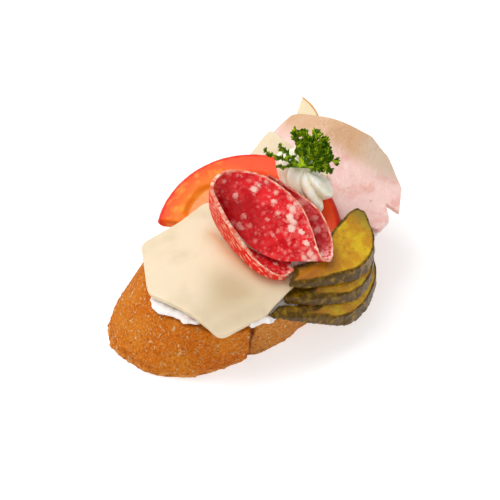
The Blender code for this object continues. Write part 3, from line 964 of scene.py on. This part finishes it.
salami_rim = [Vector(p) for p in (
    (-6.2, -34.4, 34.8), (-12.0, -33.4, 34.9), (-15.2, -26.8, 38.7), (-15.4, -16.1, 46.3),
    (-13.4, -5.8, 54.0), (-9.6, 1.1, 58.8), (-1.8, 1.0, 61.0), (5.3, -7.3, 60.0),
    (8.6, -15.7, 56.5), (9.7, -25.0, 51.0), (7.2, -32.6, 44.8), (3.4, -40.0, 37.8),
    (6.3, -43.1, 36.2), (12.8, -37.8, 40.5), (17.0, -28.5, 45.8), (16.8, -17.2, 49.4),
    (12.6, -8.2, 55.4),
)]
salami_fold = [Vector(p) for p in (
    (-5.3, -32.6, 34.3), (-11.4, -31.8, 34.3), (-16.2, -24.4, 36.7), (-13.8, -10.2, 39.6),
    (-10.6, 0.1, 46.0), (-9.1, 2.0, 52.0), (-7.6, -0.7, 49.5), (-9.6, -9.2, 43.8),
    (-10.7, -18.4, 39.9), (-8.8, -28.5, 37.8), (-3.1, -34.9, 36.6), (2.0, -39.5, 35.9),
    (4.7, -40.3, 36.0), (4.2, -34.6, 35.9), (4.6, -28.2, 37.2), (5.2, -19.7, 40.4),
    (4.3, -12.2, 46.0),
)]
salami_tuck = [Vector(p) for p in (
    (-2.8, -31.0, 34.7), (-6.6, -26.4, 35.8), (-9.8, -19.4, 37.4), (-10.6, -9.0, 40.6),
    (-9.4, -0.8, 46.6), (-8.6, 1.2, 50.6),
)]
TUCKED = len(salami_tuck) - 1


def salami_spot(share, reach):
    """A point of the slice: share of the way along the rim, reach from the fold to the rim."""
    station = share * (len(salami_rim) - 1)
    start, end = through(salami_fold, share), through(salami_rim, share)
    if station < TUCKED:
        under = through(salami_tuck, station / TUCKED)
        bend = 0.4
        pull = (start - under * (1 - bend) ** 2 - end * bend ** 2) / (2 * bend * (1 - bend))
        return under * (1 - reach) ** 2 + pull * 2 * reach * (1 - reach) + end * reach ** 2
    blend = smooth_step(TUCKED, TUCKED + 1, station)
    if blend < 1:
        start = through(salami_tuck, 1).lerp(start, blend)
    return start.lerp(end, reach)


nothing_selected()
bpy.ops.mesh.primitive_grid_add(x_subdivisions=SALAMI_CELLS, y_subdivisions=44, size=1)
salami = named("salami_slice")
station_layer = salami.data.attributes.new("station", "FLOAT", "POINT")
rim_layer = salami.data.attributes.new("from_rim", "FLOAT", "POINT")
along_layer = salami.data.attributes.new("along", "FLOAT", "POINT")
rim_length = [0.0]
for k in range(SALAMI_CELLS):
    step = through(salami_rim, (k + 1) / SALAMI_CELLS) - through(salami_rim, k / SALAMI_CELLS)
    rim_length.append(rim_length[-1] + step.length)
for v in salami.data.vertices:
    share, reach = v.co.x + 0.5, v.co.y + 0.5
    end = salami_spot(share, 1)
    spot = salami_spot(share, reach)
    station_layer.data[v.index].value = share * (len(salami_rim) - 1)
    rim_layer.data[v.index].value = (end - spot).length
    along_rim = rim_length[round(share * SALAMI_CELLS)]
    along_layer.data[v.index].value = along_rim
    nick = 0.22 * lumps(Vector((along_rim, 0, 0)), 1.1, 2)
    inside = spot if reach < 1 else salami_spot(share, 0.9)
    spot += (end - inside).normalized() * nick * smooth_step(0.93, 1, reach)
    v.co = spot * MM
salami.data.update()
shape(
    salami,
    lambda place, normal: place + normal * (0.16 * lumps(place, 5, 3) + 0.07 * lumps(place, 1.8, 5)),
)
salami.data.materials.append(None)
apply_modifier(
    salami, "SOLIDIFY", thickness=SALAMI_THICK * MM, offset=0, material_offset_rim=1,
)
salami.data.materials.clear()

SALAMI_BACK = Vector((-0.8, -0.5, -0.3)).normalized()  # the way the near leaf's outside faces
paint(salami, "outside", lambda place, normal: smooth_step(0.0, 0.3, normal.dot(SALAMI_BACK)))
stations = [value.value for value in salami.data.attributes["station"].data]
rims = [value.value for value in salami.data.attributes["from_rim"].data]
# Painted shade: the 'deep' mark lies in the fold behind the near leaf, and more weakly on the near leaf;
# 'rich' is where the fat is thickest.
fold_shade_layer = salami.data.attributes.new("deep", "FLOAT", "POINT")
rich_layer = salami.data.attributes.new("rich", "FLOAT", "POINT")
for v, at, away in zip(salami.data.vertices, stations, rims):
    rich_layer.data[v.index].value = smooth_step(8.0, 9.6, at) * smooth_step(16, 8, away)
    hollow = smooth_step(9.4, 7.2, at) * smooth_step(6, 14, away)
    fold_shade_layer.data[v.index].value = min(1.0, 0.8 * hollow + 0.4 * smooth_step(7.4, 6.0, at))

# %% The salami's finish
sausage = Finish("salami", {
    "Subsurface Weight": 0.1, "Subsurface Radius": (1.0, 0.2, 0.15), "Subsurface Scale": 0.001,
    "Specular IOR Level": 0.12,
})
station = sausage.painted("station")
from_rim = sausage.painted("from_rim")
shaded_back_leaf = station.step(12.2, 12.8)
near_leaf = station.step(6.0, 5.2)
meat = sausage.blend(colour(196, 4, 18), colour(232, 34, 40), sausage.noise(4, 3).step(0.35, 0.65))
# Painted shade: darker meat deep in the fold and over the whole back leaf, with fewer fat spots there.
deep = sausage.painted("deep")
meat = sausage.blend(meat, colour(166, 0, 8), deep * 0.85)
meat = sausage.blend(meat, colour(150, 0, 8), shaded_back_leaf * 0.75)
ragged = sausage.wandering(0.5, 1.5)
rich = sausage.painted("rich")
fatty = (1 - deep * 0.8) * (1 - shaded_back_leaf * 0.7)
big_fat, kind = sausage.spots(2.5, rich * 0.16 + 0.56, 3.0, ragged)
small_fat, _ = sausage.spots(1.5, rich * 0.12 + 0.56, 2.6, ragged)
cloud = sausage.noise(2.2, 3, rough=0.6).step(0.46, 0.62)
tone = sausage.blend(meat, colour(240, 92, 88), cloud * fatty * (rich * 0.4 + 0.3))
tone = sausage.blend(tone, colour(242, 140, 132), small_fat * fatty * 0.7)
fat_tone = sausage.blend(colour(238, 116, 110), colour(254, 216, 200), kind.step(0.45, 0.95))
tone = sausage.blend(tone, fat_tone, big_fat * fatty * 0.85)
streak_place = sausage.add(
    "ShaderNodeCombineXYZ", None, {0: sausage.painted("along") * 0.34, 1: from_rim * 1.5},
)
streaks = sausage.noise(1.0, 3, where=streak_place).step(0.50, 0.64)
outer = sausage.blend(colour(222, 36, 22), colour(248, 176, 140), streaks * 0.85)
tone = sausage.blend(tone, outer, sausage.painted("outside") * near_leaf * 0.95)
beads = sausage.noise(1.0, 2, where=streak_place, rough=0.7).step(0.42, 0.6)
edge = from_rim.step(1.0, 0.3)
tone = sausage.blend(tone, sausage.blend(colour(232, 116, 84), colour(252, 214, 190), beads), edge * 0.85)
corner = station.math("ABSOLUTE", station - 12).step(0.8, 0.2) * from_rim.step(9, 3)
mottle = sausage.noise(1.4, 3).step(0.42, 0.6)
tone = sausage.blend(tone, colour(246, 196, 194), corner * mottle * 0.8)
sausage.use(
    colour=tone, rough=sausage.noise(2, 2) * 0.3 + 0.22,
    normal=sausage.bump(big_fat * 0.5 + small_fat * 0.3 + sausage.noise(1.2, 3), 0.22),
)
casing = Finish("salami_casing", {
    "Roughness": 0.5, "Subsurface Weight": 0.2, "Subsurface Scale": 0.001,
})
casing_tone = casing.blend(
    colour(226, 128, 92), colour(248, 214, 190), casing.noise(1.1, 3).step(0.42, 0.62)
)
casing.use(colour=casing_tone, normal=casing.bump(casing.noise(0.7, 2), 0.2))
complete(salami, [sausage, casing], "salami", "salami", angle=50)


# %% [markdown]
# ## The mayonnaise
#
# Mayonnaise piped through a star nozzle: a soft, pleated shell whose folds run together at the
# top and end in a small tail. A sphere is pulled into the shell, fold by fold.

# %% The mayonnaise
MAYO_MIDDLE = Vector((26.3, -15.0, 49.2))
MAYO_LONG = Vector((5.0, 11.3, 5.4))  # from the middle to the far, high end
MAYO_WIDE = Vector((-5.9, 7.5, 0.0))  # from the middle to one side
MAYO_UP = Vector((-2.8, -2.2, 6.4))  # from the middle to the crest
MAYO_DOWN = 10.0


def mayo_floor(x, y):
    """The height of what the mayonnaise rests on: the tomato's face, or the square of cheese."""
    slope = Vector((-TOMATO_NORMAL.x, -TOMATO_NORMAL.y)) / TOMATO_NORMAL.z
    face = TOMATO_CENTRE.z + TOMATO_THICK / 2 / TOMATO_NORMAL.z
    face += slope.dot(Vector((x, y)) - TOMATO_CENTRE.xy)
    return max(face, square_height(x, y) + CHEESE_THICK / 2) + 0.2


nothing_selected()
bpy.ops.mesh.primitive_uv_sphere_add(segments=220, ring_count=110, radius=1)
mayo = named("mayonnaise_swirl")
crease_shade_layer = mayo.data.attributes.new("crease", "FLOAT", "POINT")
for v in mayo.data.vertices:
    x, y, z = v.co
    angle = math.atan2(y, x)
    wide = math.sqrt(max(0.0, 1 - z * z))
    phase = 3 * angle + 1.6 * z + 0.6 * math.sin(2 * angle + 1)
    fold = abs(math.cos(phase)) ** 0.75
    crease = abs(math.cos(phase * 2 + 0.8)) ** 0.8
    pleat = 1 - (0.34 * (1 - fold) + 0.05 * (1 - crease)) * wide ** 0.5
    rise = MAYO_UP * z * (0.55 + 0.45 * pleat) if z > 0 else Vector((0, 0, MAYO_DOWN * z))
    spot = MAYO_MIDDLE + (MAYO_LONG * x + MAYO_WIDE * y) * pleat + rise
    # Where the painted shade of the creases goes.
    crease_shade_layer.data[v.index].value = (1 - fold) ** 2 * min(1.0, wide * 1.5)
    tail = max(0.0, -x - 0.12 * abs(y)) ** 14
    spot += Vector((-0.6, -1.6, -2.0)) * tail
    spot.z = max(spot.z, mayo_floor(spot.x, spot.y))
    v.co = spot * MM
mayo.data.update()
apply_modifier(mayo, "SMOOTH", factor=0.5, iterations=4)
shape(
    mayo,
    lambda place, normal: place + normal * (0.3 * lumps(place, 5, 3) + 0.08 * lumps(place, 2, 5)),
)
mayo_finish = Finish("mayonnaise", {
    "Roughness": 0.28, "Subsurface Weight": 0.4, "Subsurface Radius": (1.0, 0.8, 0.5),
    "Subsurface Scale": 0.002, "Specular IOR Level": 0.5, "Coat Weight": 0.2, "Coat Roughness": 0.1,
})
mayo_tone = mayo_finish.blend(
    colour(254, 250, 236), colour(246, 236, 208), mayo_finish.noise(4, 2).step(0.4, 0.7)
)
# Painted shade: a darker yellow-grey down the creases between the folds.
mayo_tone = mayo_finish.blend(
    mayo_tone, colour(206, 186, 130), mayo_finish.painted("crease") * 0.6
)
mayo_finish.use(colour=mayo_tone, normal=mayo_finish.bump(mayo_finish.noise(2, 2), 0.12))
complete(mayo, [mayo_finish], "mayonnaise", "mayonnaise", angle=80)


# %% [markdown]
# ## The parsley
#
# Curly parsley: thin stalks that fork and end in tightly ruffled leaves. One ruffled leaflet is
# made and copied many times along the fronds, each copy turned its own way.

# %% The parsley
PARSLEY_ROOT = Vector((21.8, -17.0, 57.4))
HEADS = (
    (Vector((28.0, -9.5, 64.4)), 3.2), (Vector((29.2, -12.0, 64.6)), 3.2),
    (Vector((30.5, -14.8, 64.2)), 3.6), (Vector((31.2, -18.2, 62.8)), 3.6),
    (Vector((31.0, -21.0, 61.4)), 3.6), (Vector((29.8, -24.0, 59.2)), 3.2),
    (Vector((27.2, -25.6, 57.4)), 2.4), (Vector((22.0, -7.4, 61.4)), 1.9),
    (Vector((17.6, -3.4, 60.6)), 1.9), (Vector((16.6, -10.0, 57.4)), 1.5),
)
TWIGS = 8  # on each stalk
LEAFLETS = 5  # on each twig
chance = random.Random(11)


def add_leaflet():
    """One ruffled leaflet about 1 across: a fan whose outer edge waves up and down."""
    nothing_selected()
    bpy.ops.mesh.primitive_grid_add(x_subdivisions=10, y_subdivisions=3, size=1)
    leaf = named("leaflet")
    for v in leaf.data.vertices:
        s, t = v.co.x * 2, v.co.y + 0.5
        angle = s * (0.2 + 0.4 * t)
        lobe = 0.62 + 0.38 * abs(math.cos(s * 4.7))
        reach = 0.1 + t * (lobe if t > 0.5 else 0.8)
        ruffle = 0.13 * t * math.sin(s * 9.4)
        v.co = Vector((math.sin(angle) * reach, math.cos(angle) * reach, ruffle + 0.25 * t * t))
    leaf.data.update()
    apply_modifier(leaf, "SOLIDIFY", thickness=0.07, offset=0)
    return leaf


leaflet = add_leaflet()
sprig_parts = []


def place_leaflet(spot, way, size):
    copy = bpy.data.objects.new("leaf_copy", leaflet.data.copy())
    bpy.context.scene.collection.objects.link(copy)
    turn = way.to_track_quat("Y", "Z").to_matrix()
    roll = Matrix.Rotation(chance.uniform(0, math.tau), 3, "Y")
    place = Matrix.Translation(spot * MM) @ (turn @ roll).to_4x4() @ Matrix.Scale(size * MM, 4)
    copy.data.transform(place)
    sprig_parts.append(copy)


def add_stalk(start, end, thick_start, thick_end):
    nothing_selected()
    bpy.ops.mesh.primitive_cone_add(
        vertices=7, radius1=thick_start * MM, radius2=thick_end * MM,
        depth=(end - start).length * MM,
    )
    stalk = named("stalk")
    turn = (end - start).to_track_quat("Z", "Y").to_matrix().to_4x4()
    stalk.data.transform(Matrix.Translation((start + end) / 2 * MM) @ turn)
    sprig_parts.append(stalk)


def any_way():
    return Vector([chance.uniform(-1, 1) for _ in range(3)]).normalized()


for head, size in HEADS:
    reach = head - PARSLEY_ROOT
    add_stalk(PARSLEY_ROOT, PARSLEY_ROOT + reach * 0.85, 0.5, 0.3)
    for k in range(TWIGS):
        fork = PARSLEY_ROOT + reach * (0.24 + 0.1 * k)
        twig = (reach.normalized() + any_way() * 0.5).normalized() * size * chance.uniform(0.4, 0.75)
        add_stalk(fork, fork + twig, 0.24, 0.14)
        for _ in range(LEAFLETS):
            way = (twig.normalized() + any_way() * 0.45).normalized()
            foot = fork + twig * chance.uniform(0.2, 0.9)
            place_leaflet(foot, way, size * chance.uniform(0.7, 1.0))
bpy.data.objects.remove(leaflet)
nothing_selected()
for part in sprig_parts:
    part.select_set(True)
bpy.context.view_layer.objects.active = sprig_parts[0]
bpy.ops.object.join()
sprig = bpy.context.active_object
sprig.name = "parsley_sprig"
sprig.data.name = "parsley_sprig"
leaf_finish = Finish("parsley", {"Roughness": 0.5, "Specular IOR Level": 0.12})
leaf_tone = leaf_finish.blend(
    colour(64, 98, 0), colour(172, 196, 20), leaf_finish.noise(2.0, 3).step(0.42, 0.7)
)
leaf_finish.use(colour=leaf_tone, normal=leaf_finish.bump(leaf_finish.noise(0.6, 2), 0.1))
complete(sprig, [leaf_finish], "parsley", "parsley", angle=60)
